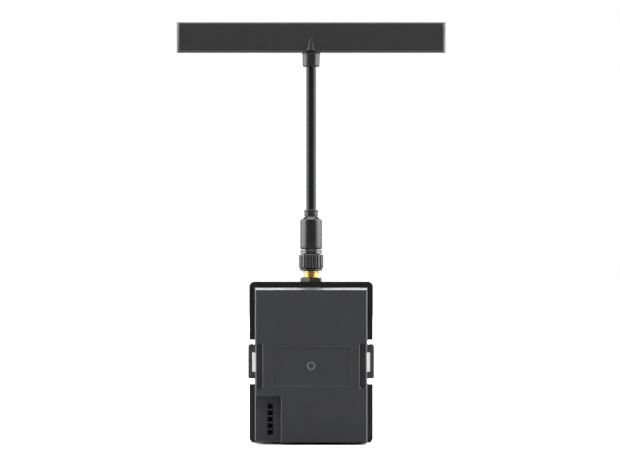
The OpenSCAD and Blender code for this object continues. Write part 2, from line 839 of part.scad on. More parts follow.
// Hex standoffs that carry the interface board, with heads on its front
module board_standoffs() color(brass) placed() {
    for (x = [standoff_x, standoff_x2]) translate([x, 0, standoff_z]) {
        translate([0, io_y0, 0]) rotate([90, 0, 0]) cylinder(h = io_y0 - board_y1, d = 3, $fn = 6);
        rod_y(0, 0, 0.7, io_y0 - eps, io_y1 + eps);
        rod_y(0, 0, 1.3, io_y1, io_y1 + 0.8);
    }
}

module data_receptacle() color(nickel) placed() {
    wall = 0.3;
    translate([data_x, io_y1 + data_t / 2, 0]) difference() {
        along_z(port_z, port_z + data_len) rounded(data_w, data_t, data_t / 2 - eps);
        along_z(port_z - 1, port_z + data_len - 0.6)
            rounded(data_w - 2 * wall, data_t - 2 * wall, data_t / 2 - wall - eps);
    }
}

module receptacle_tongue() color(nylon) placed() translate([data_x, io_y1 + data_t / 2, 0]) {
    half_w = data_w / 2 - 1.2;
    block([-half_w, -0.35, port_z + 0.6], [half_w, 0.35, port_z + data_len - 0.6]);
}

module power_socket() color(power_yellow) placed() {
    wall = 1;
    z1 = port_z + power_len;
    translate([power_x, io_y1 + power_t / 2, 0]) difference() {
        along_z(port_z, z1) rounded(power_w, power_t, 0.6);
        along_z(port_z - 1, z1 - 2) rounded(power_w - 2 * wall, power_t - 2 * wall, 0.3);
        for (s = [-1, 1]) translate([s * power_pin_x, 0, 0]) rod(z1 - 3, z1 + 1, power_pin_r);
    }
}

module power_pins() color(gold) placed() translate([power_x, io_y1 + power_t / 2, 0]) {
    for (s = [-1, 1]) translate([s * power_pin_x, 0, 0]) rod(port_z + 1, port_z + power_len + 0.5, power_pin_r);
}

module button_switch() color(nylon) placed() translate([button_x, 0, button_z]) {
    half = switch_w / 2;
    block([-half, io_y1, -half], [half, io_y1 + switch_t, half]);
}

module button_cap() color(latch_grey) placed() {
    y0 = io_y1 + switch_t + button_travel + 0.05;
    rod_y(button_x, button_z, button_r, y0, cover_d - 0.1);
    rod_y(button_x, button_z, button_r + 0.8, front_in - 1, front_in - fit);
}

module status_lamp() color(lamp_cream) placed() translate([lamp_x, 0, button_z]) {
    block([-1, io_y1, -1], [1, io_y1 + 0.8, 1]);
}

module light_pipe() color(clear_blue) placed() {
    rod_y(lamp_x, button_z, lamp_r, io_y1 + 1.1, cover_d - 0.05);
    rod_y(lamp_x, button_z, lamp_r + 0.6, front_in - 0.9, front_in);
}

module antenna_jack() color(gold) on_axis() {
    difference() {
        union() {
            rod(ceiling_z, thread_top, thread_d / 2);
            hex_rod(ceiling_z - jack_flange_h, ceiling_z, nut_flats);
            rod(jack_z, ceiling_z - jack_flange_h + eps, jack_tail_r);
        }
        rod(mate_z, thread_top + 1, jack_bore_r);
        rod(jack_z + 1, mate_z + 1, insulator_r + bond);
        rod(jack_z - 1, mate_z, 0.75);
    }
}

module jack_insulator() color("white") on_axis() {
    tube(jack_z + 1, mate_z, insulator_r, contact_r + eps);
}

module jack_contact() color(gold) on_axis() {
    difference() {
        rod(jack_z + 1.05, mate_z, contact_r);
        rod(mate_z - 3.5, mate_z + 1, pin_r + running_fit);
    }
}

// Inner coax: down from the jack, then round a bend to the main board
module coax_lead() color(jacket_black) on_axis() {
    r = 0.68;
    bend = 2.2;
    bend_z = lead_z + bend;
    rod(bend_z, jack_z + 1, r);
    translate([0, -bend, bend_z]) rotate([90, 0, 90]) rotate([0, 0, -90]) rotate_extrude(angle = 90)
        translate([bend, 0]) circle(r = r);
    rod_y(0, lead_z, r, board_y1 + 1.4 - jack_y, -bend);
}

module board_coax_plug() color(gold) placed() translate([0, 0, lead_z]) {
    difference() {
        rod_y(0, 0, 1.5, board_y1, board_y1 + 1.6);
        rod_y(0, 0, 0.69, board_y1 + 0.8, board_y1 + 2);
    }
}

module lock_washer() color(steel) on_axis() {
    tube(cover_h - nut_recess, cover_h - nut_recess + washer_t, nut_flats / 2, thread_d / 2 + fit);
}

module hex_nut() color(nut_olive) on_axis() {
    difference() {
        rotate([0, 0, nut_turn]) hex_rod(nut_z0, nut_z1, nut_flats);
        rod(nut_z0 - 1, nut_z1 + 1, thread_d / 2 + running_fit);
    }
}

module coupling_nut() color(plated_black) on_axis() {
    groove_count = 24;
    groove_r = 0.32;
    difference() {
        union() {
            rod(lip_z, knurl_z + eps, lip_d / 2);
            rod(knurl_z, coupling_top, coupling_d / 2);
        }
        rod(lip_z - 1, ring_z - 0.8, thread_d / 2 + running_fit);
        rod(lip_z, coupling_top + 1, plug_neck_r + running_fit);
        rod(ring_z - 0.03, ring_z + ring_t + 0.03, plug_neck_r + 0.4);
        for (i = [0 : groove_count - 1]) rotate([0, 0, i * 360 / groove_count])
            translate([coupling_d / 2, 0, knurl_z + 0.6]) cylinder(h = coupling_h - 1.2, r = groove_r);
    }
}

module snap_ring() color(steel) on_axis() {
    tube(ring_z, ring_z + ring_t, plug_neck_r + 0.3, plug_neck_r - 0.3);
}

module plug_body() color(nickel) on_axis() {
    groove_z = coupling_top + metal_h / 2;
    difference() {
        union() {
            rod(mate_z + 0.15, ring_z, plug_nose_r);
            rod(thread_top + 0.1, coupling_top + 0.2, plug_neck_r);
            rod(coupling_top + 0.12, coupling_top + metal_h, metal_r);
            rod(coupling_top + metal_h - eps, barrel_z + sleeve_depth, jack_tail_r);
        }
        rod(mate_z - 1, barrel_z + sleeve_depth + 1, insulator_r - 0.15);
        tube(ring_z - 0.03, ring_z + ring_t + 0.03, plug_neck_r + 1, plug_neck_r - 0.35);
        tube(groove_z - 0.2, groove_z + 0.2, metal_r + 1, metal_r - 0.3);
    }
}

module plug_insulator() color("white") on_axis() {
    tube(mate_z + 0.15, barrel_z + sleeve_depth, insulator_r - 0.17, pin_r + eps);
}

module plug_pin() color(gold) on_axis() rod(mate_z - 3, barrel_z + sleeve_depth - 0.5, pin_r);

module barrel() color(barrel_black) on_axis() {
    difference() {
        union() {
            rod(barrel_z, shoulder_z, barrel_d / 2);
            translate([0, 0, shoulder_z - eps]) cylinder(h = shoulder_h + eps, r1 = barrel_d / 2, r2 = collar_d / 2);
        }
        rod(barrel_z - 1, barrel_z + sleeve_depth + fit, jack_tail_r + bond);
        rod(barrel_z, collar_z + 1, stem_r + bond);
    }
}

module stem_collar() color(stem_black) on_axis() tube(collar_z, stem_z, collar_d / 2, stem_r + bond);

// One stiff link of the flexible stem, between flexing point i - 1 and flexing point i.
// A ball on the top of each link sits in a socket in the next one.
module stem_link(i) {
    first = i == 1;
    last = i == link_count;
    z0 = first ? barrel_z + sleeve_depth + 0.2 : flex_z(i - 1) + flex_gap;
    z1 = last ? bar_z + bar_wall + 1 : flex_z(i) - flex_gap;
    difference() {
        union() {
            rod(z0, z1, stem_r);
            if (!last) {
                rod(z1 - eps, flex_z(i), ball_r * 0.6);
                translate([0, 0, flex_z(i)]) sphere(r = ball_r);
            }
        }
        if (!first) translate([0, 0, flex_z(i - 1)]) sphere(r = ball_r + running_fit);
    }
}

module stem_link_1() color(stem_black) on_axis() stem_link(1);

module stem_link_2() color(stem_black) on_axis() stem_link(2);

module stem_link_3() color(stem_black) on_axis() stem_link(3);

module stem_link_4() color(stem_black) on_axis() stem_link(4);

module stem_link_5() color(stem_black) on_axis() stem_link(5);

module bar_boss() color(satin_grey) on_axis() {
    difference() {
        union() {
            translate([0, 0, boss_z]) cylinder(h = boss_h, r1 = boss_d / 2 - 0.2, r2 = boss_d / 2);
            rod(bar_z - eps, bar_z + bar_wall + 0.6, spigot_r);
        }
        rod(boss_z - 1, bar_z + bar_h, stem_r + bond);
    }
}

// Solid bar with chamfered edges
module bar_solid(w, t, h, edge, end) {
    intersection() {
        translate([-w / 2, 0, 0]) rotate([90, 0, 90]) linear_extrude(height = w) polygon([
            [edge - t / 2, 0], [t / 2 - edge, 0], [t / 2, edge], [t / 2, h - edge],
            [t / 2 - edge, h], [edge - t / 2, h], [-t / 2, h - edge], [-t / 2, edge]
        ]);
        linear_extrude(height = h) polygon([
            [end - w / 2, -t / 2], [w / 2 - end, -t / 2], [w / 2, end - t / 2], [w / 2, t / 2 - end],
            [w / 2 - end, t / 2], [end - w / 2, t / 2], [-w / 2, t / 2 - end], [-w / 2, end - t / 2]
        ]);
    }
}

// Hollow bar, with the hole for the boss in its lower edge
module bar_hollow() {
    difference() {
        bar_solid(bar_w, bar_t, bar_h, bar_chamfer, bar_end_chamfer);
        translate([0, 0, bar_wall])
            bar_solid(bar_w - 2 * bar_wall, bar_t - 2 * bar_wall, bar_h - 2 * bar_wall, 0.3, 0.5);
        rod(-1, bar_wall + 1, spigot_r + bond);
    }
}

module bar_rear_shell() color(satin_grey) on_axis() translate([0, 0, bar_z]) {
    rib_h = 5.2;
    rib_r = 1.9;
    rib_in = 0.9;
    intersection() {
        bar_hollow();
        block([-bar_w, -bar_t, -1], [bar_w, 0, bar_h + 1]);
    }
    difference() {
        translate([0, rib_in - bar_t / 2, bar_chamfer]) cylinder(h = rib_h, r1 = rib_r, r2 = rib_in + 0.1);
        block([-5, 0.3 - bar_t / 2, 0], [5, bar_t, bar_h]);
    }
}

module bar_front_shell() color(satin_grey) on_axis() translate([0, 0, bar_z]) {
    intersection() {
        bar_hollow();
        block([-bar_w, 0, -1], [bar_w, bar_t, bar_h + 1]);
    }
}

module dipole_board() color(board_green) on_axis() translate([0, 0, bar_z + bar_wall + 0.6]) {
    z1 = bar_h - 2 * bar_wall - 1;
    reach = bar_w / 2 - bar_wall - 1;
    difference() {
        block([-reach, -dipole_t / 2, 0], [reach, dipole_t / 2, z1]);
        block([-spigot_r - 0.1, -bar_t, -1], [spigot_r + 0.1, bar_t, 0.8]);
    }
}

rear_case();
front_case();
latch_left();
latch_right();
latch_pins();
case_screws();
pin_socket();
socket_contacts();
main_board();
board_screws();
shield_can();
thermal_pad();
heat_sink();
fan_frame();
fan_bearing();
fan_shaft();
fan_rotor();
fan_screws();
vent_guard();
io_board();
board_header();
board_standoffs();
data_receptacle();
receptacle_tongue();
power_socket();
power_pins();
button_switch();
button_cap();
status_lamp();
light_pipe();
antenna_jack();
jack_insulator();
jack_contact();
coax_lead();
board_coax_plug();
lock_washer();
hex_nut();
coupling_nut();
snap_ring();
plug_body();
plug_insulator();
plug_pin();
barrel();
stem_collar();
stem_link_1();
stem_link_2();
stem_link_3();
stem_link_4();
stem_link_5();
bar_boss();
bar_rear_shell();
bar_front_shell();
dipole_board();
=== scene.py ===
# %% [markdown]
# # A plug-in radio module with a T antenna
# The real object is a small transceiver. Its matte insert slides into the rear bay of a hand-held controller,
# its polished cover stays outside, and a T-shaped antenna stands on a flexible stem above it.
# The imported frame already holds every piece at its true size. This lesson keeps the pieces whose shape is
# right, softens their edges, rebuilds the ones that need threads, knurls or smooth bends, and gives each of
# them a finish that is made from shader nodes.

# %% Load the frame
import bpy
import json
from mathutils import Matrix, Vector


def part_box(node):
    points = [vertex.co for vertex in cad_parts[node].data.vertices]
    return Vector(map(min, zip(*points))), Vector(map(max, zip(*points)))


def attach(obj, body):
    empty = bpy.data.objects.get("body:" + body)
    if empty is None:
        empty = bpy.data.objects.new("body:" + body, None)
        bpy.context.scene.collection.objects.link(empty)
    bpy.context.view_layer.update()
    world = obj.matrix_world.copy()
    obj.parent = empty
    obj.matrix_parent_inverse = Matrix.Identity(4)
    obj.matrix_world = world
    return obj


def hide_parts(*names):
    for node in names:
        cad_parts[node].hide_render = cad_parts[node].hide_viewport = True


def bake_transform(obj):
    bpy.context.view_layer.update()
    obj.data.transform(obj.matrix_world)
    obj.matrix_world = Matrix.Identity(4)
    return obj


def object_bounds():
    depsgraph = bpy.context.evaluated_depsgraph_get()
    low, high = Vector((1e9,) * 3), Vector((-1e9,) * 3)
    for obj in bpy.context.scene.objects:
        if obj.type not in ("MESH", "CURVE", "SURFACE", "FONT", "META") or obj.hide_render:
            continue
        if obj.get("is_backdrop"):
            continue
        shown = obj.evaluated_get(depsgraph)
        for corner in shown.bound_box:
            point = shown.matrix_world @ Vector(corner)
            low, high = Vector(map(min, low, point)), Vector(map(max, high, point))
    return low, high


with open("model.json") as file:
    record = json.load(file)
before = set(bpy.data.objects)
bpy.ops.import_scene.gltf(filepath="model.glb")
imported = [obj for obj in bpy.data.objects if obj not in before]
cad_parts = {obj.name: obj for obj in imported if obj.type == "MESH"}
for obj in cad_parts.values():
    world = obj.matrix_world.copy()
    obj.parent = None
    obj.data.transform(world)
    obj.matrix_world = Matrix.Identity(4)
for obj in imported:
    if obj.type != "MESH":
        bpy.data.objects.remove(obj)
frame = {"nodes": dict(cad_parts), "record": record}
import json
import math

import bmesh
import bpy
from mathutils import Matrix, Vector

nodes = frame["nodes"]
cad_low, cad_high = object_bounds()
MM = 0.001
print("frame:", len(nodes), "pieces,", [round(v / MM, 1) for v in cad_high - cad_low], "mm")

# %% [markdown]
# ## Shader helpers
# Most of the finishes are a moulded plastic or a plated metal. Both are one principled shader whose
# roughness and relief come from noise. The noise is sampled in object space, where one unit is a metre, so a
# grain of a tenth of a millimetre is a scale of ten thousand. That is easier to keep right than UV maps.

# %% Shader helpers
def shader(name):
    """A new material with its node tree, its principled shader and its object coordinates."""
    material = bpy.data.materials.new(name)
    material.use_nodes = True
    tree = material.node_tree
    coordinates = tree.nodes.new("ShaderNodeTexCoord")
    return material, tree, tree.nodes["Principled BSDF"], coordinates.outputs["Object"]


def grain(tree, where, scale, detail=3.0, stretch=None):
    """Noise at a scale in features per metre, stretched along an axis if asked."""
    if stretch:
        mapping = tree.nodes.new("ShaderNodeMapping")
        mapping.inputs["Scale"].default_value = stretch
        tree.links.new(where, mapping.inputs["Vector"])
        where = mapping.outputs["Vector"]
    texture = tree.nodes.new("ShaderNodeTexNoise")
    texture.inputs["Scale"].default_value = scale
    texture.inputs["Detail"].default_value = detail
    tree.links.new(where, texture.inputs["Vector"])
    return texture.outputs["Fac"]


def spread(tree, value, low, high, start=0.3, end=0.7):
    """Spreads a 0 to 1 value over the range from low to high."""
    ranged = tree.nodes.new("ShaderNodeMapRange")
    ranged.inputs["From Min"].default_value = start
    ranged.inputs["From Max"].default_value = end
    ranged.inputs["To Min"].default_value = low
    ranged.inputs["To Max"].default_value = high
    tree.links.new(value, ranged.inputs["Value"])
    return ranged.outputs["Result"]


def blend_colours(tree, value, first, second):
    """Mixes two linear colours by a value."""
    ramp = tree.nodes.new("ShaderNodeValToRGB")
    ramp.color_ramp.elements[0].position = 0.3
    ramp.color_ramp.elements[1].position = 0.7
    ramp.color_ramp.elements[0].color = (*first, 1)
    ramp.color_ramp.elements[1].color = (*second, 1)
    tree.links.new(value, ramp.inputs["Fac"])
    return ramp.outputs["Color"]


def relief(tree, principled, height, strength, depth):
    """Bumps the surface by a height value, with its depth in metres."""
    bump = tree.nodes.new("ShaderNodeBump")
    bump.inputs["Strength"].default_value = strength
    bump.inputs["Distance"].default_value = depth
    tree.links.new(height, bump.inputs["Height"])
    tree.links.new(bump.outputs["Normal"], principled.inputs["Normal"])
    return bump


print("shader helpers ready")

# %% [markdown]
# ## Moulded plastics
# The insert is spark-eroded ABS: a flat charcoal with a very fine grain. The cover is the same resin from a
# polished tool, so it is nearly black and mirrors the lamps with a faint orange peel. The latches are
# coarser, for grip. The bar and the barrel are satin. One function makes them all, because they differ only
# in colour, roughness and grain, and each still gets its own values.

# %% Moulded plastics
def moulded(name, colour, tint, roughness, grain_scale, grain_depth, grain_strength=0.35, gloss=0.5):
    """A moulded plastic: two close colours in slow patches, uneven gloss and a fine grain."""
    material, tree, principled, where = shader(name)
    principled.inputs["Specular IOR Level"].default_value = gloss
    patches = grain(tree, where, 160, 2)
    tree.links.new(blend_colours(tree, patches, colour, tint), principled.inputs["Base Color"])
    smears = grain(tree, where, 420, 4)
    low, high = roughness
    tree.links.new(spread(tree, smears, low, high), principled.inputs["Roughness"])
    relief(tree, principled, grain(tree, where, grain_scale, 2), grain_strength, grain_depth)
    return material


insert_plastic = moulded(
    "insert_plastic", (0.043, 0.044, 0.049), (0.047, 0.048, 0.052), (0.48, 0.58), 7000, 0.00003
)
cover_plastic = moulded(
    "cover_plastic", (0.007, 0.008, 0.008), (0.010, 0.011, 0.011), (0.12, 0.22), 900, 0.00002, 0.12
)
latch_plastic = moulded(
    "latch_plastic", (0.074, 0.074, 0.072), (0.108, 0.107, 0.103), (0.42, 0.55), 2600, 0.00006, 0.6
)
# Painted shade: the latch arm is darker than the pad, for the shadow in its channel.
arm_painted_shade = moulded(
    "arm_painted_shade", (0.024, 0.024, 0.025), (0.030, 0.030, 0.031), (0.34, 0.46), 6000, 0.00002
)
# Painted highlight: the pale lips at the channel and pocket mouths, and the gate mark.
pale_painted_highlight = moulded(
    "pale_painted_highlight", (0.13, 0.13, 0.132), (0.18, 0.18, 0.182), (0.4, 0.5), 7000, 0.00003
)
# Painted highlight: the paler slopes of the label recess.
recess_painted_highlight = moulded(
    "recess_painted_highlight", (0.078, 0.079, 0.083), (0.092, 0.093, 0.097), (0.4, 0.5), 7000, 0.00003
)
# Painted highlight: the pale ramp of the latch hook.
ramp_painted_highlight = moulded(
    "ramp_painted_highlight", (0.42, 0.42, 0.41), (0.52, 0.52, 0.51), (0.3, 0.42), 3000, 0.00001, 0.15
)
bar_plastic = moulded(
    "bar_plastic", (0.035, 0.035, 0.035), (0.039, 0.039, 0.038), (0.38, 0.46), 8000, 0.00002
)
barrel_plastic = moulded(
    "barrel_plastic", (0.008, 0.008, 0.009), (0.011, 0.011, 0.011), (0.24, 0.33), 6000, 0.00003, gloss=0.68
)
guard_plastic = moulded(
    "guard_plastic", (0.014, 0.015, 0.016), (0.02, 0.021, 0.022), (0.35, 0.5), 5000, 0.00003
)
nylon = moulded("nylon", (0.006, 0.006, 0.007), (0.011, 0.011, 0.012), (0.4, 0.55), 5000, 0.00003)
power_plastic = moulded(
    "power_plastic", (0.62, 0.36, 0.02), (0.70, 0.44, 0.035), (0.35, 0.5), 5000, 0.00002
)
white_insulator = moulded(
    "white_insulator", (0.75, 0.75, 0.74), (0.82, 0.82, 0.80), (0.35, 0.5), 5000, 0.00001
)
cable_jacket = moulded(
    "cable_jacket", (0.012, 0.012, 0.013), (0.02, 0.02, 0.021), (0.4, 0.55), 4000, 0.00002
)
print("moulded plastics:", len([m for m in bpy.data.materials if m.use_nodes]))

# %% [markdown]
# ## Metals
# The jack is gold-plated brass, the retaining parts are nickel or zinc, and the coupling nut is plated black.
# The hexagonal nut's dark olive tone is painted shade.
# Turned metal shows fine rings round its axis. Noise that is squeezed along the axis draws them: the scale
# is large along Z and small across it.

# %% Metals
def turned_metal(name, colour, tint, roughness, ring_strength=0.25, stretch=(200, 200, 9000)):
    """A plated metal with turning marks that run round the Z axis."""
    material, tree, principled, where = shader(name)
    principled.inputs["Metallic"].default_value = 1.0
    stains = grain(tree, where, 700, 3)
    tree.links.new(blend_colours(tree, stains, colour, tint), principled.inputs["Base Color"])
    rings = grain(tree, where, 1.0, 2, stretch)
    low, high = roughness
    tree.links.new(spread(tree, rings, low, high), principled.inputs["Roughness"])
    relief(tree, principled, rings, ring_strength, 0.00001)
    return material


EVEN = (1500, 1500, 1500)
gold = turned_metal("gold", (0.90, 0.68, 0.26), (0.95, 0.77, 0.38), (0.28, 0.42))
nickel = turned_metal("nickel", (0.60, 0.60, 0.58), (0.70, 0.70, 0.67), (0.16, 0.3))
steel = turned_metal("steel", (0.42, 0.43, 0.44), (0.52, 0.53, 0.54), (0.25, 0.42), 0.2, EVEN)
black_plate = turned_metal("black_plate", (0.060, 0.063, 0.064), (0.090, 0.093, 0.093), (0.26, 0.42))
black_steel = turned_metal("black_steel", (0.03, 0.03, 0.032), (0.05, 0.05, 0.052), (0.35, 0.5))
# Painted shade: the hexagonal nut's gold plate is darkened to a dim olive.
gold_nut_painted_shade = turned_metal("gold_nut_painted_shade", (0.05, 0.047, 0.038), (0.07, 0.064, 0.052), (0.28, 0.45))
dark_nickel = turned_metal("dark_nickel", (0.12, 0.12, 0.117), (0.165, 0.165, 0.16), (0.06, 0.12))
aluminium = turned_metal(
    "aluminium", (0.55, 0.56, 0.57), (0.62, 0.63, 0.64), (0.35, 0.5), 0.3, (60, 60, 6000)
)
# Painted shade: the socket contacts are darkened for the shade deep in their holes.
contact_painted_shade = turned_metal(
    "contact_painted_shade", (0.05, 0.042, 0.022), (0.08, 0.062, 0.03), (0.4, 0.55), 0.2, EVEN
)
bronze = turned_metal("bronze", (0.42, 0.27, 0.10), (0.50, 0.33, 0.14), (0.3, 0.5), 0.2, EVEN)
print("metals ready")

# %% [markdown]
# ## Circuit boards, thermal pad, lamp and light pipe
# These sit inside, and show only through the vents. A board is solder mask over copper tracks, so a brick
# pattern with thin joints gives it a lighter lattice. The light pipe is clear plastic, so it takes a little
# transmission. The pad is a soft filled silicone.

# %% Inner finishes
def solder_mask(name):
    """Green mask over a lattice of tracks."""
    material, tree, principled, where = shader(name)
    tracks = tree.nodes.new("ShaderNodeTexBrick")
    tracks.inputs["Color1"].default_value = (0.012, 0.06, 0.035, 1)
    tracks.inputs["Color2"].default_value = (0.016, 0.075, 0.042, 1)
    tracks.inputs["Mortar"].default_value = (0.03, 0.13, 0.07, 1)
    tracks.inputs["Scale"].default_value = 260
    tracks.inputs["Mortar Size"].default_value = 0.03
    tree.links.new(where, tracks.inputs["Vector"])
    tree.links.new(tracks.outputs["Color"], principled.inputs["Base Color"])
    tree.links.new(spread(tree, grain(tree, where, 900), 0.2, 0.35), principled.inputs["Roughness"])
    relief(tree, principled, tracks.outputs["Fac"], 0.3, 0.00003)
    return material


def clear_plastic(name):
    """Clear moulded plastic with slightly uneven gloss."""
    material, tree, principled, where = shader(name)
    principled.inputs["Transmission Weight"].default_value = 0.85
    principled.inputs["IOR"].default_value = 1.49
    tint = blend_colours(tree, grain(tree, where, 300), (0.78, 0.84, 0.86), (0.86, 0.90, 0.92))
    tree.links.new(tint, principled.inputs["Base Color"])
    tree.links.new(spread(tree, grain(tree, where, 800), 0.08, 0.2), principled.inputs["Roughness"])
    return material


board = solder_mask("board")
clear = clear_plastic("clear_plastic")
thermal_silicone = moulded(
    "thermal_pad", (0.25, 0.34, 0.40), (0.31, 0.41, 0.47), (0.6, 0.8), 3000, 0.00005
)
lamp_resin = moulded("lamp", (0.72, 0.68, 0.42), (0.82, 0.78, 0.55), (0.25, 0.4), 3000, 0.00002)
print("inner finishes ready")

# %% [markdown]
# ## Softening the moulded pieces
# No moulded edge is perfectly sharp, and a sharp one catches no light. The frame's meshes are exact but made
# of triangles, so a copy first has its flat triangles joined into whole faces, and then its edges are
# rounded. A bevel with a limit on the angle would do that for a simple block. These pieces have fine
# recesses beside long edges, so each pass picks its own edges and its own radius.

# %% Softening helpers
def join_flat(mesh, angle=1.0):
    """Joins the coplanar triangles of a bmesh into whole faces."""
    bmesh.ops.remove_doubles(mesh, verts=mesh.verts, dist=0.000001)
    bmesh.ops.dissolve_limit(
        mesh, angle_limit=math.radians(angle), verts=mesh.verts, edges=mesh.edges
    )


def sharp_edges(mesh, angle=25):
    """The edges that fold by more than an angle."""
    limit = math.radians(angle)
    return [e for e in mesh.edges if len(e.link_faces) == 2 and e.calc_face_angle(0) > limit]


def finish_mesh(piece, mesh, angle=40):
    """Writes a bmesh to its object, smooth except where faces fold sharply."""
    bmesh.ops.recalc_face_normals(mesh, faces=mesh.faces)
    mesh.to_mesh(piece.data)
    mesh.free()
    piece.data.shade_smooth()
    piece.data.set_sharp_from_angle(angle=math.radians(angle))
    piece.data.update()


def new_piece(name, material):
    """An empty mesh object with its finish, linked to the scene."""
    data = bpy.data.meshes.new(name)
    piece = bpy.data.objects.new(name, data)
    bpy.context.scene.collection.objects.link(piece)
    data.materials.append(material)
    return piece


def slot_of(node):
    """The record's material slot for a node."""
    return next(p["material_slot"] for p in frame["record"]["subparts"] if p["node"] == node)


def body_of(node):
    """The body that carries a node."""
    bodies = frame["record"]["behaviour"]["bodies"]
    return next(name for name, members in bodies.items() if node in members)


def stand_for(piece, *members):
    """Lets a piece replace nodes of one body and ride on that body."""
    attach(piece, body_of(members[0]))
    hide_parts(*members)
    return piece


def soften(node, material, passes, fold=25):
    """A copy of a node with rounded edges. Each pass is (which edges, radius in mm, segments, hold back)."""
    before = len(nodes[node].data.polygons)
    mesh = bmesh.new()
    mesh.from_mesh(nodes[node].data)
    join_flat(mesh)
    for chosen, radius, segments, hold_back in passes:
        edges = [e for e in sharp_edges(mesh, fold) if chosen(e)]
        bmesh.ops.bevel(
            mesh, geom=edges, offset=radius * MM, segments=segments, profile=0.5,
            affect="EDGES", clamp_overlap=hold_back, harden_normals=False,
        )
        print(node, "pass rounds", len(edges), "edges by up to", radius, "mm")
    piece = new_piece("soft_" + node, material)
    finish_mesh(piece, mesh)
    stand_for(piece, node)
    weighted = piece.modifiers.new("even shading", "WEIGHTED_NORMAL")
    weighted.keep_sharp = True
    print(piece.name, before, "triangles became", len(piece.data.polygons), "faces")
    return piece


def middle(edge):
    """The middle of an edge, in mm."""
    return (edge.verts[0].co + edge.verts[1].co) / 2 / MM


# %% [markdown]
# ## Turned pieces
# Most of the antenna's foot is turned or moulded round one axis, so one function makes all of it. An outline
# of radius and height is swept round the axis, and its corners are eased first so that they catch a line of
# light. A shape function may change the radius with the angle and the height. That is enough for a hexagon,
# a knurl and a real screw thread, with no boolean operations.

# %% Turning helpers
def eased(outline, radius, steps=3):
    """Rounds the corners of a closed outline by a radius, in mm."""
    out = []
    for i, corner in enumerate(outline):
        here = Vector(corner)
        before, after = Vector(outline[i - 1]), Vector(outline[(i + 1) % len(outline)])
        reach = min(radius, (before - here).length * 0.45, (after - here).length * 0.45)
        start = here + (before - here).normalized() * reach
        end = here + (after - here).normalized() * reach
        for s in range(steps + 1):
            t = s / steps
            out.append(start * (1 - t) ** 2 + here * 2 * t * (1 - t) + end * t * t)
    return [(p.x, p.y) for p in out]


def split(outline, step):
    """Adds points to the long sides of a closed outline, so that a shape function can bend them."""
    out = []
    for i, point in enumerate(outline):
        after = outline[(i + 1) % len(outline)]
        length = math.dist(point, after)
        count = max(1, round(length / step))
        for s in range(count):
            t = s / count
            out.append((point[0] + (after[0] - point[0]) * t, point[1] + (after[1] - point[1]) * t))
    return out


def turned(name, material, outline, axis_y, around=96, shape=None, fold=40):
    """Sweeps a closed outline of (radius, height) in mm round a vertical axis."""
    mesh = bmesh.new()
    rings = []
    for s in range(around):
        angle = 2 * math.pi * s / around
        ring = []
        for radius, height in outline:
            if shape:
                radius = shape(radius, height, angle)
            x, y = radius * math.cos(angle), radius * math.sin(angle)
            ring.append(mesh.verts.new((x * MM, axis_y + y * MM, height * MM)))
        rings.append(ring)
    for s in range(around):
        first, second = rings[s], rings[(s + 1) % around]
        for i in range(len(outline)):
            j = (i + 1) % len(outline)
            mesh.faces.new((first[i], second[i], second[j], first[j]))
    piece = new_piece(name, material)
    finish_mesh(piece, mesh, fold)
    print(name, len(piece.data.polygons), "faces")
    return piece


def heights(node):
    """The lowest and highest point of a node, in mm."""
    low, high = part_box(node)
    return low.z / MM, high.z / MM


def widest(node):
    """The radius of a node round the antenna's axis, in mm."""
    low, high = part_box(node)
    return (high.x - low.x) / 2 / MM


def hexagon(flats, turn):
    """Radius of a hexagon at an angle."""
    sector = math.radians(60)
    return lambda angle: flats / 2 / math.cos((angle - turn) % sector - sector / 2)


low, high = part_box("coupling_nut")
axis_y = (low.y + high.y) / 2
print("antenna axis at y =", round(axis_y / MM, 2), "mm")

# %% [markdown]
# ## The coaxial jack
# The jack is a gold-plated quarter-inch thread. Its helix is drawn by shifting a triangle wave along the axis
# as the angle grows, by one pitch a turn, so the crests join up all the way round. The hexagonal flange and
# the crimp tail sit inside the cover.

# %% Coaxial jack
jack_low, jack_high = heights("antenna_jack")
thread_r = 6.35 / 2
thread_pitch = 25.4 / 36
thread_start = heights("hex_nut")[0] - 1.2
bore_floor = heights("jack_insulator")[1]
flange_top = jack_low + 6.2
flange_hex = hexagon(8, 0)


def jack_shape(radius, height, angle):
    """Cuts the thread's helix, and makes the flange hexagonal."""
    if radius > 3.9:
        return flange_hex(angle)
    if radius < 3 or height < thread_start:
        return radius
    turns = (height - angle / (2 * math.pi) * thread_pitch) / thread_pitch
    groove = abs(2 * (turns % 1) - 1)
    fade = min(1, (jack_high - height) / 0.7, (height - thread_start) / 0.7)
    return radius - 0.4 * max(0, fade) * max(0, 1 - groove * 1.25)


jack_outline = [
    (0.75, jack_low), (2.3, jack_low), (2.3, flange_top - 2.2), (4.4, flange_top - 2.2),
    (4.4, flange_top), (thread_r, flange_top), (thread_r, jack_high - 0.35),
    (thread_r - 0.3, jack_high), (2.35, jack_high), (2.35, bore_floor), (2.07, bore_floor),
    (2.07, jack_low + 1), (0.75, jack_low + 1),
]
jack = turned(
    "threaded_jack", gold, split(jack_outline, thread_pitch / 8), axis_y, 96, jack_shape, 50
)
stand_for(jack, "antenna_jack")

# %% [markdown]
# ## Nut and lock washer
# The jack is held by a hexagonal nut over a toothed washer, in a round recess in the cover's top edge. A real
# nut has its corners cut by a cone at both ends, so its radius is the smaller of the hexagon and the cone.

# %% Nut and lock washer
nut_low, nut_high = heights("hex_nut")
nut_hex = hexagon(8, math.radians(24))


def nut_shape(radius, height, angle):
    """A hexagon whose corners are cut by a cone at each end."""
    if radius < 3.6:
        return radius
    from_end = min(height - nut_low, nut_high - height)
    return min(nut_hex(angle) * radius / 4, 4.02 + from_end * 1.7)


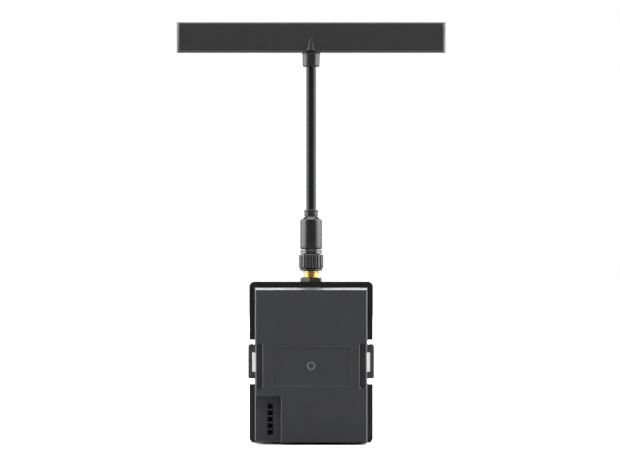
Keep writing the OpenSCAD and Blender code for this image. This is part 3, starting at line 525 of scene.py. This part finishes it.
nut = turned(
    "chamfered_nut", gold_nut_painted_shade,
    split([(3.24, nut_low), (4, nut_low), (4, nut_high), (3.24, nut_high)], 0.12),
    axis_y, 144, nut_shape, 22,
)
stand_for(nut, "hex_nut")

washer_low, washer_high = heights("lock_washer")
TEETH = 12


def washer_shape(radius, height, angle):
    """Square teeth round the outside."""
    notch = (angle / (2 * math.pi) * TEETH) % 1 > 0.62
    return radius - 0.45 if radius > 3.7 and notch else radius


washer = turned(
    "toothed_washer", steel,
    [(3.3, washer_low), (3.98, washer_low), (3.98, washer_high), (3.3, washer_high)],
    axis_y, 144, washer_shape, 30,
)
stand_for(washer, "lock_washer")

# %% [markdown]
# ## Coupling nut
# The free-turning nut pulls the antenna onto the jack. Its grip is a ring of straight flutes with broad lands
# between them, which die out before the end chamfers. A high power of a cosine gives a narrow flute.

# %% Coupling nut
nut_bottom, nut_top = heights("coupling_nut")
grip_bottom = nut_bottom + 0.9
grip_r = widest("coupling_nut")
FLUTES = 18


def grip_shape(radius, height, angle):
    """Presses flutes into the grip."""
    if radius < grip_r - 0.6 or height < grip_bottom:
        return radius
    fade = min(1, (height - grip_bottom - 0.25) / 0.3, (nut_top - 0.35 - height) / 0.3)
    flute = abs(math.cos(angle * FLUTES / 2)) ** 10
    return radius - 0.34 * max(0, fade) * flute


grip_outline = [
    (3.24, nut_bottom), (4.2, nut_bottom), (4.34, nut_bottom + 0.25), (4.34, grip_bottom),
    (grip_r - 0.35, grip_bottom), (grip_r, grip_bottom + 0.35), (grip_r, nut_top - 0.4),
    (grip_r - 0.4, nut_top), (2.96, nut_top), (2.96, nut_top - 1.8), (3.24, nut_top - 1.8),
]
grip = turned(
    "fluted_coupling_nut", black_plate, split(eased(grip_outline, 0.12, 2), 0.15),
    axis_y, FLUTES * 18, grip_shape, 35,
)
stand_for(grip, "coupling_nut")

# %% [markdown]
# ## Plug ring, barrel and collar
# Above the nut a bright double ring of the plug shows, then a dark gap, then the over-moulded barrel. Its
# lower edge is drawn in a little and its shoulder is a soft curve into the collar that grips the stem.

# %% Plug ring, barrel and collar
plug_low, plug_high = heights("plug_body")
ring_low = nut_top + 0.12
ring_high = nut_top + 1.8
ring_r = widest("plug_body")
plug_outline = [
    (1.9, plug_low), (2.3, plug_low), (2.3, nut_top - 2.35), (2.9, nut_top - 2.3),
    (2.9, nut_top - 1.05), (2.55, nut_top - 1.03), (2.55, nut_top - 0.57), (2.9, nut_top - 0.55),
    (2.9, ring_low), (ring_r - 0.15, ring_low), (ring_r, ring_low + 0.15), (ring_r, ring_low + 0.6),
    (ring_r - 0.35, ring_low + 0.7), (ring_r - 0.35, ring_low + 0.95), (ring_r, ring_low + 1.05),
    (ring_r, ring_high - 0.15), (ring_r - 0.15, ring_high), (2.28, ring_high), (2.28, plug_high),
    (1.9, plug_high),
]
plug = turned("grooved_plug", dark_nickel, eased(plug_outline, 0.06, 2), axis_y, 96)
stand_for(plug, "plug_body")

barrel_low, barrel_high = heights("barrel")
barrel_r = widest("barrel")
collar_low, collar_high = heights("stem_collar")
collar_r = widest("stem_collar")
stem_r = widest("stem_link_3")
barrel_outline = [
    (2.33, barrel_low), (barrel_r - 0.3, barrel_low), (barrel_r - 0.05, barrel_low + 0.35),
    (barrel_r, barrel_low + 1.4), (barrel_r, barrel_high - 1.9), (barrel_r - 0.12, barrel_high - 1.35),
    (barrel_r - 0.5, barrel_high - 0.9), (collar_r + 0.35, barrel_high - 0.1),
    (collar_r - 0.1, barrel_high), (stem_r + 0.02, barrel_high), (stem_r + 0.02, barrel_low + 6.6),
    (2.33, barrel_low + 6.6),
]
barrel = turned("shaped_barrel", barrel_plastic, eased(barrel_outline, 0.3, 4), axis_y, 96)
stand_for(barrel, "barrel")

collar_outline = [
    (stem_r + 0.02, collar_low), (collar_r - 0.12, collar_low), (collar_r - 0.12, collar_high - 0.9),
    (collar_r, collar_high - 0.7), (collar_r, collar_high - 0.25), (collar_r - 0.2, collar_high),
    (stem_r + 0.02, collar_high),
]
collar = turned("lipped_collar", barrel_plastic, eased(collar_outline, 0.12, 3), axis_y, 96)
stand_for(collar, "stem_collar")

# %% [markdown]
# ## The flexible stem
# The stem is a coaxial cable in a tight woven sleeve. In the frame it is a chain of five links, which bend at
# four points. Here it is cut at the middle of each link instead, and each middle piece stays where it is
# built and rides on no body. Its weave is a low relief in the finish: two families of strands wind round in
# opposite directions.

# %% Woven sleeve finish
def woven_sleeve(name, radius):
    """Glossy black braid, drawn from the angle round the axis and the height."""
    material, tree, principled, where = shader(name)
    split_axes = tree.nodes.new("ShaderNodeSeparateXYZ")
    tree.links.new(where, split_axes.inputs["Vector"])

    def maths(kind, first, second=None):
        node = tree.nodes.new("ShaderNodeMath")
        node.operation = kind
        for socket, value in zip(node.inputs, (first, second)):
            if value is None:
                continue
            if isinstance(value, (int, float)):
                socket.default_value = value
            else:
                tree.links.new(value, socket)
        return node.outputs[0]

    depth = maths("SUBTRACT", split_axes.outputs["Y"], axis_y)
    turn = maths("ARCTAN2", depth, split_axes.outputs["X"])
    climb = maths("MULTIPLY", split_axes.outputs["Z"], 1 / radius)
    strands = 12
    waves = []
    for sense in (1, -1):
        round_it = maths("MULTIPLY", turn, sense * strands)
        up_it = maths("MULTIPLY", climb, strands * 0.9)
        slope = maths("ADD", round_it, up_it)
        waves.append(maths("ABSOLUTE", maths("SINE", maths("MULTIPLY", slope, 0.5))))
    weave = maths("MAXIMUM", waves[0], waves[1])
    tone = blend_colours(tree, weave, (0.004, 0.005, 0.005), (0.011, 0.012, 0.012))
    tree.links.new(tone, principled.inputs["Base Color"])
    principled.inputs["Specular IOR Level"].default_value = 0.3
    fibres = grain(tree, where, 5000, 2)
    tree.links.new(spread(tree, fibres, 0.2, 0.34), principled.inputs["Roughness"])
    relief(tree, principled, weave, 0.35, 0.00006)
    return material


sleeve = woven_sleeve("stem_sleeve", stem_r * MM)

# %% [markdown]
# ## The sleeve in lengths
# The foot and the head are rigid, because the plug and the bar hold them. The four lengths between them are
# baked in place and ride on no body. Each length has a ring every 0.4 mm.

# %% Stem pieces
joints = {j["name"]: j for j in frame["record"]["behaviour"]["joints"]}
flex = [joints[f"stem_flex_{i}"]["pos_m"][2] / MM for i in range(1, 5)]
half_link = (flex[1] - flex[0]) / 2
cuts = [flex[0] - half_link] + [z + half_link for z in flex]
stem_low = heights("stem_link_1")[0]
stem_high = heights("stem_link_5")[1]
print("stem from", round(stem_low, 1), "to", round(stem_high, 1), "mm, cut at", [round(c, 1) for c in cuts])


def stem_piece(name, bottom, top):
    """A length of sleeve over its cable, open at both ends where it meets the next one."""
    rings = max(2, round((top - bottom) / 0.4))
    outer = [(stem_r, bottom + (top - bottom) * i / rings) for i in range(rings + 1)]
    inner = [(stem_r - 0.5, z) for _, z in reversed(outer)]
    return turned(name, sleeve, outer + inner, axis_y, 64, None, 60)


foot = stem_piece("stem_foot", stem_low, cuts[0])
stand_for(foot, "stem_link_1")
head = stem_piece("stem_head", cuts[4], stem_high)
stand_for(head, "stem_link_5")
for i in range(4):
    bend = stem_piece(f"stem_bend_{i + 1}", cuts[i], cuts[i + 1])
    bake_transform(bend)
    if i < 3:
        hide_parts(f"stem_link_{i + 2}")

# %% [markdown]
# ## Boss and rib under the bar
# The bar stands on a short tapered boss that flares where it meets the bar's underside. On the rear face a
# slim half-cone carries the boss's line up into the bar and stiffens it.

# %% Boss and rib
boss_low, boss_top = heights("bar_boss")
boss_r = widest("bar_boss")
bar_low = heights("bar_rear_shell")[0]
boss_outline = [
    (stem_r + 0.02, boss_low), (boss_r - 0.6, boss_low), (boss_r - 0.25, boss_low + 0.35),
    (boss_r - 0.08, bar_low - 0.9), (boss_r, bar_low - 0.4), (boss_r + 0.2, bar_low),
    (stem_r + 0.02, bar_low),
]
boss = turned("flared_boss", barrel_plastic, eased(boss_outline, 0.35, 4), axis_y, 96)
stand_for(boss, "bar_boss")
print("boss", round(boss_low, 2), "to", round(bar_low, 2), "mm; node goes up to", round(boss_top, 2))

# %% [markdown]
# ## Moulded edges
# The case, the cover and the bar keep their exact shape and only get soft edges. The label recess and the
# latch channels stay crisp, because a tool edge forms them. The recess's slopes and the bar's chamfers take a
# slightly paler finish, a painted highlight for the light that such edges catch.

# %% Soft edges on the case and the bar
def long_enough(length):
    """Picks the edges longer than a length in mm."""
    return lambda edge: edge.calc_length() > length * MM


rear_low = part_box("rear_case")[0] / MM
latch_low, latch_high = (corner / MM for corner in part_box("latch_right"))
label_half_w, label_half_h = 15.6, 8
mid_z = (latch_low.z + latch_high.z) / 2


def in_label(at):
    """True in the label recess, whose crisp slopes stay as they are."""
    return abs(at.x) < label_half_w and at.y < rear_low.y + 0.45 and abs(at.z - mid_z) < label_half_h


def in_channel(at):
    """True in and just round a latch channel, which is a little larger than the latch arm."""
    return abs(at.x) > latch_low.x - 1.9 and latch_low.z - 3 < at.z < latch_high.z + 0.5


def outer_edge(edge):
    """Picks the case's long edges outside the label recess and the channels."""
    at = middle(edge)
    return long_enough(2)(edge) and not in_label(at) and not in_channel(at)


def refinish(piece, material, chosen):
    """Gives the chosen faces of a piece another finish."""
    piece.data.materials.append(material)
    index = len(piece.data.materials) - 1
    faces = [f for f in piece.data.polygons if chosen(f)]
    for face in faces:
        face.material_index = index
    print(piece.name, len(faces), "faces in", material.name)


rear = soften("rear_case", insert_plastic, [(outer_edge, 0.2, 3, True)])
# The recess's slopes take the paler finish, a painted highlight.
refinish(rear, recess_painted_highlight, lambda f: in_label(f.center / MM) and 0.2 < abs(f.normal.y) < 0.95)
soften("front_case", cover_plastic, [(long_enough(3), 0.22, 3, True)])


def face_rim(face_y):
    """Picks the long edges round a flat face of the bar, which lies at face_y."""
    return lambda edge: abs(middle(edge).y - face_y) < 0.2 and long_enough(1.5)(edge)


# Painted highlight: the bar's chamfers are paler than its faces.
bar_edge_painted_highlight = moulded("bar_edge_painted_highlight", (0.10, 0.10, 0.10), (0.13, 0.13, 0.13), (0.3, 0.38), 8000, 0.00002)
front_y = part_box("bar_front_shell")[1].y / MM
faces_y = {"bar_front_shell": front_y, "bar_rear_shell": 2 * axis_y / MM - front_y}
for shell, face_y in faces_y.items():
    bar = soften(shell, bar_plastic, [(face_rim(face_y), 0.3, 3, False)])
    # The chamfers take the paler finish, a painted highlight.
    refinish(bar, bar_edge_painted_highlight, lambda f: 0.2 < abs(f.normal.y) < 0.95 and abs(f.center.x) > 4 * MM)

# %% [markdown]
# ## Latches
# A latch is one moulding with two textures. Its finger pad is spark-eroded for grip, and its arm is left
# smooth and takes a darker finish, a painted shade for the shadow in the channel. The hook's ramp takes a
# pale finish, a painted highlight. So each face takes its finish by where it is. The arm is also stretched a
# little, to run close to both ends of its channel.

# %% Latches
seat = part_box("front_case")[0].y


def latch_edge(edge):
    """Picks the edges of the finger pad, and the upright edges of the arm."""
    at = middle(edge) * MM
    upright = abs(edge.verts[0].co.z - edge.verts[1].co.z) > 5 * MM
    return long_enough(1.2)(edge) and (at.y > seat + 1 * MM or upright)


def pad_corner(edge):
    """Picks the short edges at the outer corners of the finger pad, which run along Y."""
    at = middle(edge)
    along_y = abs(edge.verts[0].co.y - edge.verts[1].co.y) > 1.5 * MM
    return along_y and abs(at.x) > pad_side - 0.2


def reach_ends(piece, reach):
    """Makes the latch arm reach closer to the channel's two ends, so that no light shows past it."""
    low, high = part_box(piece.name.replace("soft_", ""))
    for vert in piece.data.vertices:
        if vert.co.z > high.z - 0.02 * MM:
            vert.co.z += reach * MM
        elif vert.co.z < low.z + 0.02 * MM:
            vert.co.z -= reach * MM


pad_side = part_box("latch_right")[1].x / MM
for side in ("latch_left", "latch_right"):
    latch = soften(side, latch_plastic, [(pad_corner, 0.8, 4, False), (latch_edge, 0.16, 3, True)])
    reach_ends(latch, 0.2)
    # The arm takes the darker finish, a painted shade for its channel's shadow.
    refinish(latch, arm_painted_shade, lambda f: f.center.y < seat + 1.2 * MM)
    # The hook's ramp takes the pale finish, a painted highlight.
    refinish(latch, ramp_painted_highlight, lambda f: -0.5 < f.normal.y < -0.15 and f.area > 15 * MM * MM)

# %% [markdown]
# ## Lips and gate mark
# The mouths of the two channels and of the socket pocket end in a slim lip in a pale finish, a painted
# highlight for the bright edge there. It is a strip with rounded edges, flush with the rear face. The gate
# mark is the ring that is left where the plastic entered the mould, in the same pale finish, a painted
# highlight. It is turned from an outline like the antenna's pieces, then laid on its side in the groove of
# the label recess.

# %% Lips and gate mark
def bead(name, x, width, z_low, z_high):
    """A slim raised lip in pale plastic, a painted highlight, flush with the case's rear face. Sizes in mm.
    """
    mesh = bmesh.new()
    bmesh.ops.create_cube(mesh, size=1)
    size = Vector((width, 0.35, z_high - z_low))
    for vert in mesh.verts:
        across = x + vert.co.x * size.x
        inward = rear_low.y + (vert.co.y + 0.5) * size.y
        up = (z_low + z_high) / 2 + vert.co.z * size.z
        vert.co = Vector((across, inward, up)) * MM
    bmesh.ops.bevel(
        mesh, geom=mesh.edges[:], offset=0.09 * MM, segments=3, profile=0.5,
        affect="EDGES", clamp_overlap=True,
    )
    piece = new_piece(name, pale_painted_highlight)
    finish_mesh(piece, mesh)
    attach(piece, "case")
    print(name, "from z", round(z_low, 1), "to", round(z_high, 1), "mm")
    return piece


rear_face = [v.co / MM for v in nodes["rear_case"].data.vertices if v.co.y / MM < rear_low.y + 0.01]
half_w = max(p.x for p in rear_face)
mouth = [p for p in rear_face if in_channel(p) and 0 < p.x < half_w - 1]
mouth_x, mouth_low, mouth_high = min(p.x for p in mouth), min(p.z for p in mouth), max(p.z for p in mouth)
pocket_mouth = [p for p in rear_face if p.z < mouth_low - 1 and 1 - half_w < p.x < 0]
pocket_mouth_x = max(p.x for p in pocket_mouth)
pocket_mouth_high = max(p.z for p in pocket_mouth)
print("mouths at", [round(v, 2) for v in (mouth_x, mouth_low, mouth_high, pocket_mouth_x, pocket_mouth_high)])
for name, sense in (("mouth_bead_left", -1), ("mouth_bead_right", 1)):
    bead(name, sense * (mouth_x + 0.17), 0.36, mouth_low + 0.1, mouth_high - 0.1)
bead("pocket_bead", pocket_mouth_x - 0.14, 0.3, rear_low.z + 0.6, pocket_mouth_high - 0.4)

gate_mid = Vector((0, rear_low.y + 0.3, mid_z)) * MM
gate_outline = [
    (0.92, -0.02), (1.05, 0.08), (1.25, 0.14), (1.45, 0.14), (1.65, 0.08), (1.78, -0.02), (1.35, -0.4),
]
gate = turned("gate_mark", pale_painted_highlight, eased(gate_outline, 0.05, 2), 0, 72)
gate.data.transform(Matrix.Translation(gate_mid) @ Matrix.Rotation(math.radians(90), 4, "X"))
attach(gate, "case")

# %% [markdown]
# ## The studio
# A pale floor and two large soft lamps at the sides, which is how small products are usually lit: the sides
# of dark plastic pick up bright edges while the front stays dark. Two lamps behind and a wide sun overhead
# light the floor and the upper faces. The world is only a dim fill, but it looks white to the camera. The
# camera stands far off with a long lens, level with the antenna's foot, and looks straight at the insert.

# %% Studio
def area_lamp(name, place, size, power, target):
    """A square soft lamp that faces a target."""
    data = bpy.data.lights.new(name, "AREA")
    data.shape = "RECTANGLE"
    data.size, data.size_y = size
    data.energy = power
    lamp = bpy.data.objects.new(name, data)
    lamp.location = place
    lamp.rotation_euler = (Vector(target) - Vector(place)).to_track_quat("-Z", "Y").to_euler()
    bpy.context.scene.collection.objects.link(lamp)
    return lamp


def floor_finish():
    """Pale matte board with a faint unevenness, which throws only a little light back at the object."""
    material, tree, principled, where = shader("pale_floor")
    tone = blend_colours(tree, grain(tree, where, 6), (0.87, 0.87, 0.87), (0.9, 0.9, 0.9))
    tree.links.new(tone, principled.inputs["Base Color"])
    principled.inputs["Roughness"].default_value = 0.9
    principled.inputs["Specular IOR Level"].default_value = 0.1
    dim = tree.nodes.new("ShaderNodeBsdfDiffuse")
    dim.inputs["Color"].default_value = (0.25, 0.25, 0.25, 1)
    path = tree.nodes.new("ShaderNodeLightPath")
    mixed = tree.nodes.new("ShaderNodeMixShader")
    tree.links.new(path.outputs["Is Camera Ray"], mixed.inputs[0])
    tree.links.new(dim.outputs[0], mixed.inputs[1])
    tree.links.new(principled.outputs[0], mixed.inputs[2])
    tree.links.new(mixed.outputs[0], tree.nodes["Material Output"].inputs["Surface"])
    return material


floor = new_piece("floor", floor_finish())
ground = bmesh.new()
bmesh.ops.create_circle(ground, cap_ends=True, segments=96, radius=12)
ground.to_mesh(floor.data)
ground.free()
floor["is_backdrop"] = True

middle_of_object = (0, 0, (cad_low.z + cad_high.z) / 2)
area_lamp("lamp_left", (-0.7, 0.02, 0.2), (0.85, 1.1), 13, (0, 0.02, 0.1))
area_lamp("lamp_right", (0.7, 0.02, 0.2), (0.85, 1.1), 13, (0, 0.02, 0.1))
area_lamp("lamp_behind", (0, 1.9, 1.2), (2.6, 1.2), 50, middle_of_object)
backdrop_lamp = area_lamp("lamp_backdrop", (0, 2.0, 0.8), (3.6, 1.6), 26, middle_of_object)
backdrop_lamp.visible_camera = False
overhead = bpy.data.lights.new("lamp_overhead", "SUN")
overhead.energy = 3.2
overhead.angle = math.radians(60)
overhead_lamp = bpy.data.objects.new("lamp_overhead", overhead)
bpy.context.scene.collection.objects.link(overhead_lamp)

world = bpy.data.worlds.new("studio")
bpy.context.scene.world = world
world.use_nodes = True
sky = world.node_tree.nodes
fill = sky["Background"]
fill.inputs["Color"].default_value = (1, 1, 1, 1)
fill.inputs["Strength"].default_value = 0.16
backdrop = sky.new("ShaderNodeBackground")
backdrop.inputs["Color"].default_value = (1, 1, 1, 1)
backdrop.inputs["Strength"].default_value = 1.0
seen = sky.new("ShaderNodeLightPath")
choice = sky.new("ShaderNodeMixShader")
world.node_tree.links.new(seen.outputs["Is Camera Ray"], choice.inputs[0])
world.node_tree.links.new(fill.outputs[0], choice.inputs[1])
world.node_tree.links.new(backdrop.outputs[0], choice.inputs[2])
world.node_tree.links.new(choice.outputs[0], sky["World Output"].inputs["Surface"])
bpy.context.scene.view_settings.view_transform = "Standard"

camera_data = bpy.data.cameras.new("camera")
camera_data.sensor_width = 36
camera_data.lens = 221.4
camera = bpy.data.objects.new("camera", camera_data)
camera.location = (-0.00045, cad_low.y - 1.5, 0.0836)
camera.rotation_euler = (math.radians(90), 0, 0)
camera_data.clip_start, camera_data.clip_end = 0.05, 60
bpy.context.scene.collection.objects.link(camera)
bpy.context.scene.camera = camera
print("camera at", [round(v, 3) for v in camera.location])

# %% [markdown]
# ## The nodes that keep their shape
# Screws, boards, fan, sockets and the other small parts are already right as they came. They only need their
# finishes, and the record's material slot of each node says which one.

# %% Dress the nodes that keep their shape
finishes = {
    "insert_plastic": insert_plastic, "cover_plastic": cover_plastic, "latch_plastic": latch_plastic,
    "steel": steel, "nylon": nylon, "gold": gold, "board": board, "nickel": nickel,
    "thermal_pad": thermal_silicone, "aluminium": aluminium, "bronze": bronze,
    "guard_plastic": guard_plastic, "power_plastic": power_plastic, "clear_plastic": clear,
    "lamp": lamp_resin, "white_insulator": white_insulator, "cable_jacket": cable_jacket,
    "black_steel": black_steel, "nut_metal": gold_nut_painted_shade, "knurled_metal": black_plate,
    "barrel_plastic": barrel_plastic, "stem_sleeve": barrel_plastic, "bar_plastic": bar_plastic,
}
for name, node in nodes.items():
    node.data.materials.clear()
    node.data.materials.append(finishes[slot_of(name)])
# The contacts take the darkened finish, a painted shade for their deep holes.
nodes["socket_contacts"].data.materials[0] = contact_painted_shade
print("dressed", len(nodes), "nodes")

# %% [markdown]
# ## Measure and finish
# Softening only takes material off the edges, and the lips lie inside the outline, so the model should be
# exactly as large as the frame it was built round. Both boxes are printed.

# %% Measure and finish
low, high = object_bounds()
print("visual size", [round(v / MM, 2) for v in high - low])
